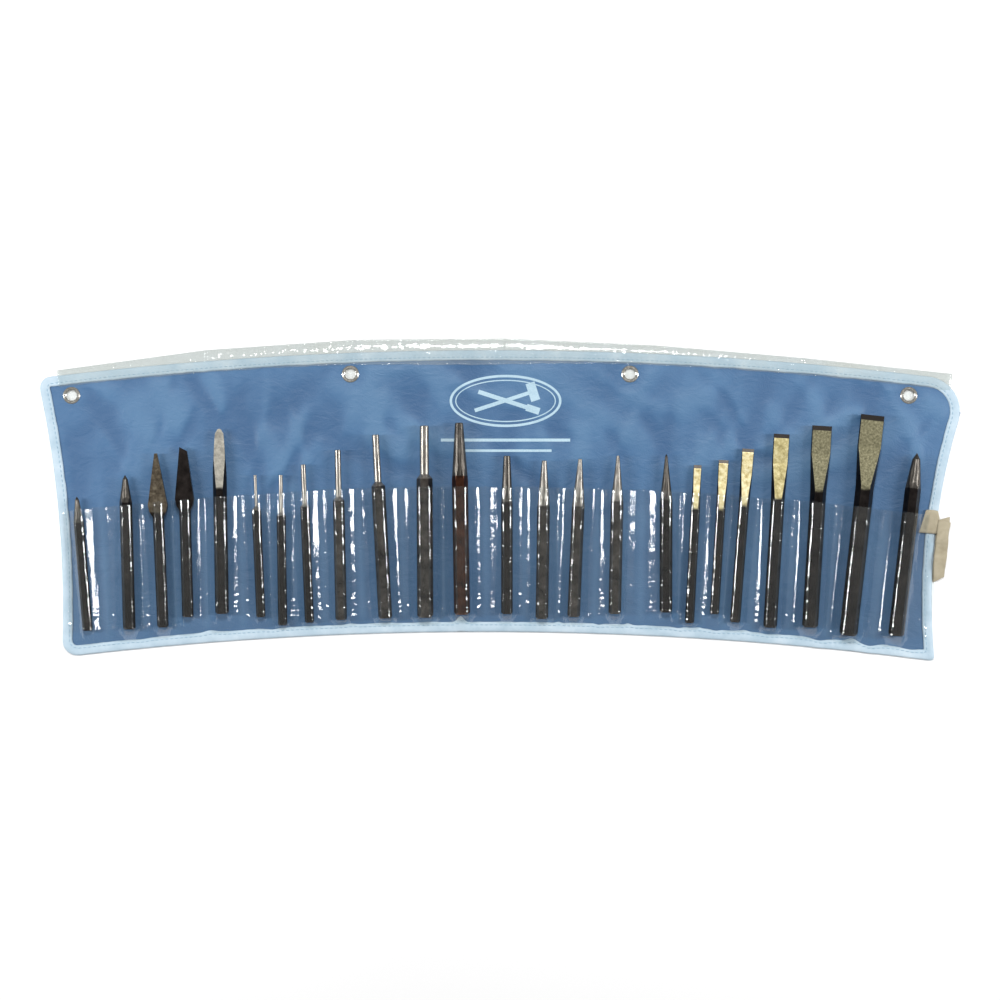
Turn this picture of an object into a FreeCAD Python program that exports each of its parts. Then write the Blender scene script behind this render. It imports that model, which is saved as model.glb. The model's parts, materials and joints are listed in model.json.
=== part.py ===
"""Punch and chisel kit: twenty-four hex-stock hand tools in a vinyl tool roll that lies open.

Frame: the roll lies flat, face up. +X runs along its long side, +Y from the pocket floors to the eyelets
and +Z up, off the face. The origin is the middle of the whole kit's underside. Units are millimetres.

The roll is bowed in its own plane, because the filled pockets draw its lower edge in: both long edges
arch towards +Y and the short ends hollow a little. Layers from the bottom up: the clear flap, turned back
under the top edge, the binding's back leg, the blue back panel, the clear pocket sheet, the binding's
front leg and the flap's sewn hem. The tools lie on top, each under its own arch of the pocket sheet.
"""
import FreeCAD
import Part

import math
import os

Vector = FreeCAD.Vector
INCH = 25.4

# ---- Layers, from the surface that the roll lies on -------------------------------------------------
FLAP_THICK = 0.25
BINDING_THICK = 0.4
PANEL_THICK = 0.7
FILM_THICK = 0.3
BINDING_Z = 0.4                                     # underside of the binding's back leg
PANEL_Z = BINDING_Z + BINDING_THICK                 # underside of the back panel
FILM_Z = PANEL_Z + PANEL_THICK                      # top of the panel, where the pocket sheet lies
BINDING_FRONT_Z = FILM_Z + FILM_THICK               # underside of the binding's front leg
BINDING_TOP_Z = BINDING_FRONT_Z + BINDING_THICK
HEM_Z = BINDING_TOP_Z + 0.05                        # the hem lies on the binding
TOOL_Z = HEM_Z + FLAP_THICK + 0.25                  # underside of every tool, so that it slides out over the hem

# ---- Outline of the roll: four corners, and how far each side bows towards +Y or inwards -------------
TOP_LEFT = Vector(-372, 91, 0)
TOP_RIGHT = Vector(379.5, 88, 0)
BOTTOM_RIGHT = Vector(349.5, -136.5, 0)
BOTTOM_LEFT = Vector(-352.5, -133.5, 0)
TOP_BOW = 24
BOTTOM_BOW = 22
LEFT_HOLLOW = 7.5
RIGHT_HOLLOW = 13
CORNER_RADII = {"top_left": 9, "top_right": 28, "bottom_right": 3, "bottom_left": 12}
SMALLEST_CORNER = 1.5
BINDING_WIDTH = 8
PANEL_INSET = 0.5                                   # the binding's fold stands this far outside the panel
BINDING_END = 34                                    # the end pieces of binding reach this far along the long sides

# ---- Eyelets ------------------------------------------------------------------------------------------
EYELET_COUNT = 4
EYELET_PITCH = 225
EYELET_INSET = 16.5                                 # from the roll's top edge to the eyelet's axis
EYELET_BORE_R = 4.4
EYELET_WALL = 0.35
EYELET_FLANGE_R = 6.9
EYELET_ROLL = 0.85                                  # height of the rolled front flange
WASHER_THICK = 0.35

# ---- Pockets ------------------------------------------------------------------------------------------
POCKET_DEPTH = 117                                  # from the roll's bottom edge to the pocket mouths
ARCH_SIDE_GAP = 0.7                                 # between a tool's corners and the film
ARCH_TOP_GAP = 0.6
ARCH_SLOPE = math.radians(60)                       # the film leaves the tool along the hexagon's upper flats
ARCH_END_GAP = 1.0                                  # between a tool's butt and the film
SEAM_LAND = 1.2                                     # half the narrowest flat strip welded between two arches
MOUTH_CLEARANCE = 8                                 # a drawn tool's butt ends this far past the mouth

# ---- Flap ---------------------------------------------------------------------------------------------
FLAP_DEPTH = 90
FLAP_OVERHANGS = [4.6, 9, 10.5, 9.5, 7, 4.6, 4.6]    # how far the fold's corners stand outside the top edge
FLAP_SEGMENTS = len(FLAP_OVERHANGS) - 1
HEM_INSET = 1.0                                     # the hem's stitching leaves the binding's rounded edge bare
FLAP_GAP = 0.3                                      # slit between neighbouring segments
FLAP_END_INSET = 16                                 # the flap stops this short of the roll's corners
HEM_LAP = 1.2                                       # the hem shows this far below the binding
HEM_ZONE = (75, 200)                                # heights that hold the top edge's hem and nothing of the ends'

# ---- Tie tape, sewn on behind the right end -------------------------------------------------------------
TAPE_WIDTH = 19
TAPE_THICK = 0.35
TAPE_Y = -25                                        # middle of the stretch that wraps the edge
TAPE_BACK = 28                                      # length of tape sewn behind the panel
TAPE_FRONT = 9                                     # length of tape folded over the face
TAIL_LENGTH = 46
TAIL_STICK_OUT = 10.5
TAIL_HEIGHT = 5


def hex_across_corners(flats):
    return flats * 2 / math.sqrt(3)


def arc_through(start, end, bow, towards):
    """A circular arc from start to end whose middle stands bow off the chord, towards a unit vector."""
    middle = (start + end) / 2 + towards * bow
    return Part.Arc(start, middle, end)


TOP_ARC = arc_through(TOP_LEFT, TOP_RIGHT, TOP_BOW, Vector(0, 1, 0))
BOTTOM_ARC = arc_through(BOTTOM_LEFT, BOTTOM_RIGHT, BOTTOM_BOW, Vector(0, 1, 0))
LEFT_ARC = arc_through(BOTTOM_LEFT, TOP_LEFT, LEFT_HOLLOW, Vector(1, 0, 0))
RIGHT_ARC = arc_through(BOTTOM_RIGHT, TOP_RIGHT, RIGHT_HOLLOW, Vector(-1, 0, 0))


def arc_y(arc, x):
    """The height of an upward-bowed arc at x."""
    circle = arc.toShape().Curve
    return circle.Center.y + math.sqrt(circle.Radius**2 - (x - circle.Center.x) ** 2)


def right_edge_x(y):
    """Where the roll's hollow right end is at height y."""
    circle = RIGHT_ARC.toShape().Curve
    return circle.Center.x - math.sqrt(circle.Radius**2 - (y - circle.Center.y) ** 2)


def prism(points, low, high):
    """A plate with the given corners in plan."""
    corners = [Vector(x, y, low) for x, y in points]
    return Part.Face(Part.makePolygon(corners + corners[:1])).extrude(Vector(0, 0, high - low))


def slab(inset, low, high):
    """The roll's outline, drawn in by inset and with its corners rounded, between two heights."""
    sides = [BOTTOM_ARC.toShape(), RIGHT_ARC.toShape(), TOP_ARC.toShape(), LEFT_ARC.toShape()]
    outline = Part.Wire(Part.__sortEdges__(sides))
    if inset:
        outline = outline.makeOffset2D(-inset, 2)
    solid = Part.Face(outline).extrude(Vector(0, 0, high - low))
    solid.translate(Vector(0, 0, low))
    for name, corner in (("top_left", TOP_LEFT), ("top_right", TOP_RIGHT),
                         ("bottom_right", BOTTOM_RIGHT), ("bottom_left", BOTTOM_LEFT)):
        upright = [e for e in solid.Edges if abs(e.tangentAt(e.FirstParameter).z) > 0.99]
        nearest = min(upright, key=lambda e: math.hypot(e.CenterOfMass.x - corner.x, e.CenterOfMass.y - corner.y))
        radius = max(CORNER_RADII[name] - inset, SMALLEST_CORNER)
        solid = solid.makeFillet(radius, [nearest])
    return solid


# ---- The tools: each is drawn with its butt at the origin and its point at +Y ------------------------------
def turned(profile):
    """A solid of revolution about Y from (radius, y) points that start and end on the axis."""
    corners = [Vector(r, y, 0) for r, y in profile]
    face = Part.Face(Part.makePolygon(corners + corners[:1]))
    return face.revolve(Vector(0, 0, 0), Vector(0, 1, 0), 360)


def hex_bar(flats, length):
    """Hexagonal stock along Y, with a flat facing +Z."""
    r = hex_across_corners(flats) / 2
    corners = [Vector(r * math.cos(math.radians(a)), 0, r * math.sin(math.radians(a))) for a in range(0, 360, 60)]
    return Part.Face(Part.makePolygon(corners + corners[:1])).extrude(Vector(0, length, 0))


def struck_end(flats):
    """(radius, y) points of the chamfered butt that a hammer strikes."""
    r = hex_across_corners(flats) / 2
    return [(0, 0), (0.72 * r, 0), (r + 0.01, 0.3 * r)]


def ground_from_bar(flats, length, front):
    """Hexagonal stock turned down to the (radius, y) points in front, which leaves scallops on its flats."""
    r = hex_across_corners(flats) / 2
    return hex_bar(flats, length).common(turned(struck_end(flats) + [(r + 0.01, front[0][1])] + front))


def pin_punch(flats, length, pin, pin_length):
    """A straight pin behind a short cone."""
    r = hex_across_corners(flats) / 2
    shoulder = length - pin_length
    edge = 0.08 * pin
    return ground_from_bar(flats, length, [
        (r, shoulder - 1.3 * (r - pin / 2)), (pin / 2, shoulder), (pin / 2, length - edge),
        (pin / 2 - edge, length), (0, length)])


def solid_punch(flats, length, tip, taper):
    """A long taper to a flat tip."""
    r = hex_across_corners(flats) / 2
    edge = 0.1 * tip
    return ground_from_bar(flats, length, [
        (r, length - taper), (tip / 2, length - edge), (tip / 2 - edge, length), (0, length)])


def centre_punch(flats, length, tip, taper):
    """A taper that ends in a ground point."""
    r = hex_across_corners(flats) / 2
    point = 0.8 * tip
    return ground_from_bar(flats, length, [
        (r, length - taper), (tip / 2, length - point), (0.15, length), (0, length)])


def flattened(half_width, half_thick, y):
    """A six-cornered blade section with the same corner order as hexagonal stock."""
    chamfer = min(0.35 * half_thick, 0.6)
    top = half_width - chamfer
    return [Vector(half_width, y, 0), Vector(top, y, half_thick), Vector(-top, y, half_thick),
            Vector(-half_width, y, 0), Vector(-top, y, -half_thick), Vector(top, y, -half_thick)]


def hex_section(flats, y):
    r = hex_across_corners(flats) / 2
    return [Vector(r * math.cos(math.radians(a)), y, r * math.sin(math.radians(a))) for a in range(0, 360, 60)]


def loft(sections):
    """A straight-sided solid through six-cornered sections."""
    wires = [Part.makePolygon(corners + corners[:1]) for corners in sections]
    return Part.makeLoft(wires, True, True)


def cold_chisel(flats, length, edge, blade):
    """Stock forged out to a flat blade, wider than the bar, with a ground bevel at the cutting edge."""
    parallel = 0.45 * blade
    bevel = 0.16 * flats + 2.2
    blade_solid = loft([
        hex_section(flats, length - blade),
        flattened(edge / 2, 0.24 * flats, length - parallel),
        flattened(edge / 2, 0.14 * flats, length - bevel),
        flattened(edge / 2, 0.15, length)])
    r = hex_across_corners(flats) / 2
    bar = hex_bar(flats, length - blade).common(turned(struck_end(flats) + [(r + 0.01, length), (0, length)]))
    return bar.fuse(blade_solid).removeSplitter()


def headed_chisel(flats, length, head_width, head, tip_width, tip_skew, half_thick):
    """A slim shank below a broad flat head that narrows to a small cutting edge, as on a cape chisel."""
    neck = length - head
    shoulder = neck + 0.17 * head
    belly = neck + 0.06 * head
    side = head_width / 2
    shank = 0.46 * flats
    outline = [Vector(-shank, neck - 2, -half_thick), Vector(shank, neck - 2, -half_thick),
               Vector(0.86 * side, belly, -half_thick), Vector(side, shoulder, -half_thick),
               Vector(tip_width / 2, length - tip_skew, -half_thick), Vector(-tip_width / 2, length, -half_thick),
               Vector(-side, shoulder, -half_thick), Vector(-0.86 * side, belly, -half_thick)]
    plate = Part.Face(Part.makePolygon(outline + outline[:1])).extrude(Vector(0, 0, 2 * half_thick))
    # the two broad faces draw together towards the cutting edge
    tip_half = 0.4 * half_thick
    wedge = [Vector(-head_width, neck - 3, -half_thick), Vector(-head_width, shoulder, -half_thick),
             Vector(-head_width, length + 1, -tip_half), Vector(-head_width, length + 1, tip_half),
             Vector(-head_width, shoulder, half_thick), Vector(-head_width, neck - 3, half_thick)]
    plate = plate.common(Part.Face(Part.makePolygon(wedge + wedge[:1])).extrude(Vector(2 * head_width, 0, 0)))
    r = hex_across_corners(flats) / 2
    bar = hex_bar(flats, neck + 1).common(turned(struck_end(flats) + [(r + 0.01, length), (0, length)]))
    return bar.fuse(plate).removeSplitter()


def cape_chisel(flats, length, head_width, head):
    return headed_chisel(flats, length, head_width, head, 2.4, 0.0, 0.36 * flats)


def diamond_point_chisel(flats, length, head_width, head):
    return headed_chisel(flats, length, head_width, head, 6.0, 3.4, 0.42 * flats)


def round_nose_chisel(flats, length, face):
    """A tapered bar with one long slanting face ground across its top, down to a rounded nose."""
    r = hex_across_corners(flats) / 2
    nose = 0.5 * flats
    bar = ground_from_bar(flats, length, [
        (r, length - 0.75 * face), (0.62 * flats / 2 + 0.6, length - nose), (0.4 * flats / 2, length - 0.25 * nose),
        (0.18 * flats / 2, length), (0, length)])
    slope = [Vector(-flats, length - face, flats / 2), Vector(-flats, length + 1, -0.18 * flats),
             Vector(-flats, length + 1, flats)]
    return bar.cut(Part.Face(Part.makePolygon(slope + slope[:1])).extrude(Vector(2 * flats, 0, 0)))


# Each tool: node name, maker, stock across flats and overall length in inches, the maker's further sizes in mm,
# then where it lies: its butt's x, the butt's height above the roll's bottom edge, and its lean to the left in degrees.
TOOLS = [
    ("centre_punch_small", centre_punch, 9 / 32, 4 + 1 / 4, (3.2, 21), -331, 19.5, 4.7),
    ("centre_punch_medium", centre_punch, 11 / 32, 4 + 7 / 8, (4.2, 22), -297.5, 17, 1.6),
    ("cape_chisel", cape_chisel, 5 / 16, 5 + 1 / 2, (15.6, 50), -270.5, 16, 2.4),
    ("diamond_point_chisel", diamond_point_chisel, 5 / 16, 5 + 3 / 8, (15.0, 50), -250.5, 22.5, 1.6),
    ("round_nose_chisel", round_nose_chisel, 3 / 8, 5 + 7 / 8, (48,), -223, 23, 1.0),
    ("pin_punch_3_32", pin_punch, 1 / 4, 4 + 1 / 2, (3 / 32 * INCH, 25), -192, 18, 2.4),
    ("pin_punch_1_8", pin_punch, 1 / 4, 4 + 3 / 4, (1 / 8 * INCH, 30), -174.5, 10.5, 0.8),
    ("pin_punch_5_32", pin_punch, 1 / 4, 5, (5 / 32 * INCH, 32), -153, 11.5, 2.3),
    ("pin_punch_3_16", pin_punch, 5 / 16, 5 + 3 / 8, (3 / 16 * INCH, 38), -127.5, 12.5, 1.2),
    ("pin_punch_7_32", pin_punch, 3 / 8, 5 + 13 / 16, (7 / 32 * INCH, 38), -92, 12.5, 3.1),
    ("pin_punch_9_32", pin_punch, 7 / 16, 6 + 1 / 16, (9 / 32 * INCH, 39), -60, 12.5, 0.3),
    ("line_up_punch", solid_punch, 7 / 16, 6 + 1 / 16, (6.6, 46), -30.5, 14.5, 0.9),
    ("solid_punch_7_32", solid_punch, 5 / 16, 5, (7 / 32 * INCH, 40), 5.5, 15, 0),
    ("solid_punch_5_32", solid_punch, 11 / 32, 5, (5 / 32 * INCH, 38), 33.5, 11.5, -0.9),
    ("solid_punch_1_8", solid_punch, 11 / 32, 5, (1 / 8 * INCH, 38), 59, 13.5, -2.4),
    ("solid_punch_3_32", solid_punch, 11 / 32, 5, (3 / 32 * INCH, 38), 92, 17, -1.2),
    ("prick_punch", centre_punch, 11 / 32, 5, (2.0, 38), 133, 20, -0.2),
    ("cold_chisel_1_4", cold_chisel, 1 / 4, 5, (1 / 4 * INCH, 35), 152, 12.5, -3.0),
    ("cold_chisel_5_16", cold_chisel, 1 / 4, 4 + 7 / 8, (5 / 16 * INCH, 38), 172, 21, -3.5),
    ("cold_chisel_3_8", cold_chisel, 9 / 32, 5 + 1 / 2, (3 / 8 * INCH, 44), 188.5, 15.5, -4.4),
    ("cold_chisel_1_2", cold_chisel, 3 / 8, 6 + 1 / 8, (1 / 2 * INCH, 52), 216.5, 13.5, -3.5),
    ("cold_chisel_5_8", cold_chisel, 7 / 16, 6 + 3 / 8, (5 / 8 * INCH, 51), 248.5, 16.5, -3.5),
    ("cold_chisel_3_4", cold_chisel, 1 / 2, 7, (3 / 4 * INCH, 57), 279, 13, -6.4),
    ("centre_punch_large", centre_punch, 7 / 16, 5 + 13 / 16, (6.4, 30), 317.5, 17, -6.6),
]


class Tool:
    """One tool, where it lies and how wide its pocket has to be."""

    def __init__(self, name, maker, stock, length, sizes, x, rise, lean):
        self.name = name
        self.flats = stock * INCH
        self.length = length * INCH
        self.solid = maker(self.flats, self.length, *sizes)
        self.butt = Vector(x, arc_y(BOTTOM_ARC, x) + rise, TOOL_Z + self.flats / 2)
        self.lean = lean
        self.along = Vector(-math.sin(math.radians(lean)), math.cos(math.radians(lean)), 0)
        self.headed = maker in (cape_chisel, diamond_point_chisel)
        self.half_width = max(hex_across_corners(self.flats), sizes[0] if self.headed else 0) / 2
        self.mouth = (arc_y(BOTTOM_ARC, x) + POCKET_DEPTH - self.butt.y) / self.along.y
        self.travel = round(self.mouth + MOUTH_CLEARANCE)

    def place(self, shape):
        """Moves a shape drawn in the tool's own frame to where the tool lies."""
        placed = shape.copy()
        placed.Placement = FreeCAD.Placement(self.butt, FreeCAD.Rotation(Vector(0, 0, 1), self.lean))
        return placed

    def x_at(self, y):
        """The x of the tool's axis at height y."""
        return self.butt.x + self.along.x * (y - self.butt.y) / self.along.y

    def arch(self, grow, start, end, foot_half_width):
        """The tunnel under the pocket sheet, grown by the film's thickness for its outer face."""
        foot_z = FILM_Z - self.butt.z
        crown_z = self.flats / 2 + ARCH_TOP_GAP + grow
        crown = hex_across_corners(self.flats) / 4 + ARCH_SIDE_GAP + grow / 2
        if self.headed:
            crown = self.half_width + ARCH_SIDE_GAP + grow / 2
        foot = foot_half_width + grow
        corners = [Vector(-foot, start, foot_z), Vector(foot, start, foot_z),
                   Vector(crown, start, crown_z), Vector(-crown, start, crown_z)]
        return self.place(Part.Face(Part.makePolygon(corners + corners[:1])).extrude(Vector(0, end - start, 0)))

    def foot_half_width(self):
        """Where the film comes down to the panel beside the tool."""
        return self.half_width + ARCH_SIDE_GAP + (self.butt.z - FILM_Z) / math.tan(ARCH_SLOPE)


def make_tools():
    return [Tool(*row) for row in TOOLS]


# ---- The roll ---------------------------------------------------------------------------------------------
def eyelet_centres():
    """Eyelet axes, evenly spaced on an arc inside the top edge."""
    circle = TOP_ARC.toShape().Curve
    radius = circle.Radius - EYELET_INSET
    centres = []
    for i in range(EYELET_COUNT):
        angle = (i - (EYELET_COUNT - 1) / 2) * EYELET_PITCH / radius
        centres.append(Vector(circle.Center.x + radius * math.sin(angle), circle.Center.y + radius * math.cos(angle), 0))
    return centres


def ring(centre, inner, outer, low, high):
    tube = Part.makeCylinder(outer, high - low, Vector(centre.x, centre.y, low))
    return tube.cut(Part.makeCylinder(inner, high - low, Vector(centre.x, centre.y, low)))


def back_panel():
    panel = slab(PANEL_INSET, PANEL_Z, FILM_Z)
    for centre in eyelet_centres():
        hole = Part.makeCylinder(EYELET_BORE_R + EYELET_WALL, 10, Vector(centre.x, centre.y, -1))
        panel = panel.cut(hole)
    return panel


def binding():
    """The folded tape around the panel's edge, as {node name: piece}."""
    tape = slab(0, BINDING_Z, BINDING_TOP_Z)
    tape = tape.cut(slab(PANEL_INSET, PANEL_Z, BINDING_FRONT_Z))
    tape = tape.cut(slab(BINDING_WIDTH, BINDING_Z - 1, BINDING_TOP_Z + 1))
    left = BOTTOM_LEFT.x + BINDING_END
    right = BOTTOM_RIGHT.x - BINDING_END
    far = 500
    zones = {
        "binding_left": [(-far, -far), (left, -far), (left, far), (-far, far)],
        "binding_right": [(right, -far), (far, -far), (far, far), (right, far)],
        "binding_top": [(left, 0), (right, 0), (right, far), (left, far)],
        "binding_bottom": [(left, -far), (right, -far), (right, 0), (left, 0)],
    }
    return {name: tape.common(prism(corners, -1, 9)) for name, corners in zones.items()}


def eyelets():
    """Four pressed eyelets: a barrel through the panel and a rolled flange on its face."""
    outer = EYELET_BORE_R + EYELET_WALL
    low = PANEL_Z - WASHER_THICK
    made = []
    for centre in eyelet_centres():
        profile = [(EYELET_BORE_R, low), (outer, low), (outer, FILM_Z), (EYELET_FLANGE_R, FILM_Z),
                   (EYELET_FLANGE_R - 0.1, FILM_Z + 0.4), (EYELET_FLANGE_R - 0.9, FILM_Z + EYELET_ROLL),
                   (EYELET_BORE_R + 0.7, FILM_Z + EYELET_ROLL), (EYELET_BORE_R, FILM_Z + 0.35)]
        corners = [Vector(centre.x + r, centre.y, z) for r, z in profile]
        face = Part.Face(Part.makePolygon(corners + corners[:1]))
        made.append(face.revolve(centre, Vector(0, 0, 1), 360))
    return Part.makeCompound(made)


def eyelet_washers():
    outer = EYELET_BORE_R + EYELET_WALL
    low = PANEL_Z - WASHER_THICK
    return Part.makeCompound([ring(c, outer, EYELET_FLANGE_R, low, PANEL_Z) for c in eyelet_centres()])


def seam_points(tools):
    """The weld lines either side of each pocket, as (x at the bottom edge, x at the mouth), left to right."""
    low = BOTTOM_LEFT.y
    high = arc_y(BOTTOM_ARC, 0) + POCKET_DEPTH
    seams = [(TOP_LEFT.x - 10, TOP_LEFT.x - 10)]
    for a, b in zip(tools, tools[1:]):
        shift = (a.half_width - b.half_width) / 2
        seams.append(tuple((a.x_at(y) + b.x_at(y)) / 2 + shift for y in (low, high)))
    seams.append((TOP_RIGHT.x + 10, TOP_RIGHT.x + 10))
    return seams


def pocket_sheet(tools):
    """One pocket per tool: a flat land welded to the panel and an arch of film over the tool, open at the mouth."""
    lands = slab(PANEL_INSET, FILM_Z, BINDING_FRONT_Z)
    seams = seam_points(tools)
    pockets = []
    for tool, left, right in zip(tools, seams, seams[1:]):
        mouth_y = [arc_y(BOTTOM_ARC, max(min(x, BOTTOM_RIGHT.x), BOTTOM_LEFT.x)) + POCKET_DEPTH
                   for x in (left[1], right[1])]
        corners = [(left[0], BOTTOM_LEFT.y - 9), (right[0], BOTTOM_LEFT.y - 9),
                   (right[1], mouth_y[1]), (left[1], mouth_y[0])]
        land = lands.common(prism(corners, FILM_Z - 1, BINDING_FRONT_Z + 1))
        room = min(tool.x_at(BOTTOM_LEFT.y) - left[0], right[0] - tool.x_at(BOTTOM_LEFT.y),
                   tool.x_at(mouth_y[0]) - left[1], right[1] - tool.x_at(mouth_y[1]))
        foot = min(tool.foot_half_width(), room - SEAM_LAND)
        outer = tool.arch(FILM_THICK, -ARCH_END_GAP - FILM_THICK, tool.mouth - 1, foot)
        inner = tool.arch(0, -ARCH_END_GAP, tool.mouth + 9, foot)
        pockets.append(land.fuse(outer).cut(inner).removeSplitter())
    return Part.makeCompound([s for p in pockets for s in p.Solids])


def fold_points():
    """The corners of the flap's fold, each its own distance outside the top edge."""
    circle = TOP_ARC.toShape().Curve
    first = math.asin((TOP_LEFT.x + FLAP_END_INSET - circle.Center.x) / circle.Radius)
    last = math.asin((TOP_RIGHT.x - FLAP_END_INSET - circle.Center.x) / circle.Radius)
    points = []
    for i, overhang in enumerate(FLAP_OVERHANGS):
        angle = first + (last - first) * i / FLAP_SEGMENTS
        reach = circle.Radius + overhang
        points.append(Vector(circle.Center.x + reach * math.sin(angle), circle.Center.y + reach * math.cos(angle),
                             FLAP_THICK / 2))
    return points


def flap_segments():
    """The clear flap turned back under the roll, as strips that each fold on their own stretch of the top edge."""
    centre = TOP_ARC.toShape().Curve.Center
    folds = fold_points()
    strips = []
    for a, b in zip(folds, folds[1:]):
        chord = (b - a).normalize()
        start = a + chord * FLAP_GAP / 2
        end = b - chord * FLAP_GAP / 2
        inward = [(centre - p).normalize() for p in (start, end)]
        foot = [p + Vector(d.x, d.y, 0) * FLAP_DEPTH for p, d in zip((start, end), inward)]
        corners = [(p.x, p.y) for p in (start, end, foot[1], foot[0])]
        strips.append(prism(corners, 0, FLAP_THICK))
    return strips


def flap_hem():
    """The stretch of the flap that is sewn down over the top binding."""
    left, right = fold_points()[0].x, fold_points()[-1].x
    low, high = HEM_ZONE
    zone = prism([(left, low), (right, low), (right, high), (left, high)], HEM_Z - 1, HEM_Z + FLAP_THICK + 1)
    outer = slab(HEM_INSET, HEM_Z, HEM_Z + FLAP_THICK)
    inner = slab(BINDING_WIDTH + HEM_LAP, HEM_Z - 1, HEM_Z + FLAP_THICK + 1)
    return outer.cut(inner).common(zone)


def tie_tape():
    """Cotton tape: sewn behind the right end, folded over the edge on to the face, the rest bunched beside it."""
    top, low = TAPE_Y + TAPE_WIDTH / 2, TAPE_Y - TAPE_WIDTH / 2
    edges = [(right_edge_x(y), y) for y in (low, top)]
    wrap_top = HEM_Z + TAPE_THICK

    def strip(near, far, bottom, height):
        points = [(edges[0][0] + near, edges[0][1]), (edges[0][0] + far, edges[0][1]),
                  (edges[1][0] + far, edges[1][1]), (edges[1][0] + near, edges[1][1])]
        return prism(points, bottom, bottom + height)

    gap = 0.1
    behind = strip(-TAPE_BACK, gap + TAPE_THICK, 0, TAPE_THICK)
    wrap = strip(gap, gap + TAPE_THICK, 0, wrap_top)
    face = strip(-TAPE_FRONT, gap + TAPE_THICK, HEM_Z, TAPE_THICK)
    steps = 6
    heights = [low + 2 - i * TAIL_LENGTH / steps for i in range(steps + 1)]
    inner = [(right_edge_x(y) + gap + TAPE_THICK, y) for y in heights]
    outer = [(x + TAIL_STICK_OUT * math.sin(math.pi * (i + 0.9) / (steps + 1.4)) ** 0.5, y)
             for i, (x, y) in enumerate(inner)]
    tail = prism(inner + outer[::-1], 0, TAIL_HEIGHT)
    return behind.fuse([wrap, face, tail]).removeSplitter()


def model():
    """Every node's shape, by name, in the outline's own coordinates."""
    tools = make_tools()
    nodes = {"back_panel": back_panel(), **binding(), "pocket_sheet": pocket_sheet(tools),
             "eyelets": eyelets(), "eyelet_washers": eyelet_washers(), "flap_hem": flap_hem(),
             "tie_tape": tie_tape()}
    for i, strip in enumerate(flap_segments(), 1):
        nodes[f"flap_{i}"] = strip
    for tool in tools:
        nodes[tool.name] = tool.place(tool.solid)
    return nodes, tools


def origin_of(nodes):
    """The middle of the whole kit's underside."""
    box = FreeCAD.BoundBox()
    for shape in nodes.values():
        box.add(shape.optimalBoundingBox(False))
    return Vector(box.Center.x, box.Center.y, box.ZMin)


def main():
    nodes, tools = model()
    origin = origin_of(nodes)
    os.makedirs("parts", exist_ok=True)
    for name, shape in nodes.items():
        shape.translate(-origin)
        shape.exportStep(f"parts/{name}.step")
    return nodes, tools, origin


NODES, TOOL_LIST, ORIGIN = main()
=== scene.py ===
"""Looks for the punch and chisel kit: the vinyl roll's soft pieces, its print, and every surface's material.

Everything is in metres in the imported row's frame: +X along the roll, +Y towards the eyelets, +Z up off the face.
"""

import functools
import json
import math
import random

import bmesh
import bpy
import numpy as np
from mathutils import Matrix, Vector, noise
from mathutils.bvhtree import BVHTree


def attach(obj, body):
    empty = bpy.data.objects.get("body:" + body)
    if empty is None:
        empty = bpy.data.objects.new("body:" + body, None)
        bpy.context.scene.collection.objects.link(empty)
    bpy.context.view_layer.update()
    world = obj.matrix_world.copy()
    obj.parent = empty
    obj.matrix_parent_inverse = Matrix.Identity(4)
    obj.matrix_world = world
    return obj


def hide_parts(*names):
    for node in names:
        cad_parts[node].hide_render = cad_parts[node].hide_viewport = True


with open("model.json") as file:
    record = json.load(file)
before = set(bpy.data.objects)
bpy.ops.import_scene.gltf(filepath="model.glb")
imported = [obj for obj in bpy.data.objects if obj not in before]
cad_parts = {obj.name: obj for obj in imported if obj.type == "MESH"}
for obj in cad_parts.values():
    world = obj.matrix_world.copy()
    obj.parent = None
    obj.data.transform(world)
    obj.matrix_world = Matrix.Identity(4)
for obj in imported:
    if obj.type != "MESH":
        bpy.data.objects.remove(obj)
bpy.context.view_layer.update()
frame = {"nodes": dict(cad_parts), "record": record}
MM = 0.001

# ---- Outline of the roll in millimetres, before the move to the row's origin -------------------------------
ORIGIN = (-0.055, -7.024)
CORNERS = {"tl": (-372, 91), "tr": (379.5, 88), "br": (349.5, -136.5), "bl": (-352.5, -133.5)}
ROUNDING = {"tl": 9, "tr": 28, "br": 3, "bl": 12}
TOP_BOW, BOTTOM_BOW, LEFT_HOLLOW, RIGHT_HOLLOW = 24, 22, 7.5, 13
BINDING_WIDTH = 8
PANEL_TOP = 1.5
PANEL_THICK = 0.45
PANEL_INSET = 0.5                                   # the cloth stops this far inside the binding's fold
HOLE = 4.8                                          # radius of the cloth's hole round an eyelet's barrel
HEM_TOP = 2.5
FLAP_OVERHANGS = (4.6, 9, 10.5, 9.5, 7, 4.6, 4.6)
FLAP_SEGMENTS = len(FLAP_OVERHANGS) - 1
FLAP_DEPTH = 90
FLAP_END_INSET = 16
POCKET_DEPTH = 117


def circle_through(a, b, bow, towards):
    """Centre and radius of the circle through a, b and the chord's middle moved by bow."""
    m = ((a[0] + b[0]) / 2 + towards[0] * bow, (a[1] + b[1]) / 2 + towards[1] * bow)
    d = 2 * (a[0] * (m[1] - b[1]) + m[0] * (b[1] - a[1]) + b[0] * (a[1] - m[1]))
    squares = [p[0] ** 2 + p[1] ** 2 for p in (a, m, b)]
    x = (squares[0] * (m[1] - b[1]) + squares[1] * (b[1] - a[1]) + squares[2] * (a[1] - m[1])) / d
    y = (squares[0] * (b[0] - m[0]) + squares[1] * (a[0] - b[0]) + squares[2] * (m[0] - a[0])) / d
    return (x, y), math.dist(a, (x, y))


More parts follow.
